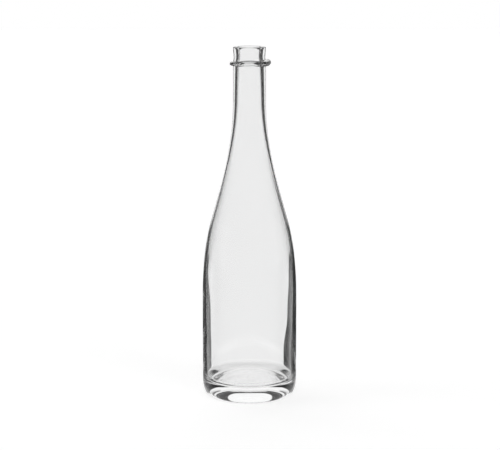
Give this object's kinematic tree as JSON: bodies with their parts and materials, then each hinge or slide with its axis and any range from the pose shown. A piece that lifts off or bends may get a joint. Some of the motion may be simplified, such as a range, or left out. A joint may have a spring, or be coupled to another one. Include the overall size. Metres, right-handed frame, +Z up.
{
  "type": "wine carafe",
  "caption": "Clear glass wine carafe shaped like a slim bottle: thick foot, straight body, long sloping shoulder and a narrow neck with an applied glass collar below the lip.",
  "frame": {"origin": "middle of the foot, on the surface that the carafe stands on", "axes": "+Z up the carafe's axis to the mouth; +X towards the lap where the neck ring's two ends cross; -Y towards the viewer"},
  "size_m": [0.088, 0.088, 0.325],
  "materials": {
    "vessel_glass": "clear, fire polished",
    "ring_glass": "clear, fire polished"
  },
  "bodies": {
    "root": {"carafe_body": "vessel_glass", "neck_ring": "ring_glass"}
  },
  "joints": []
}
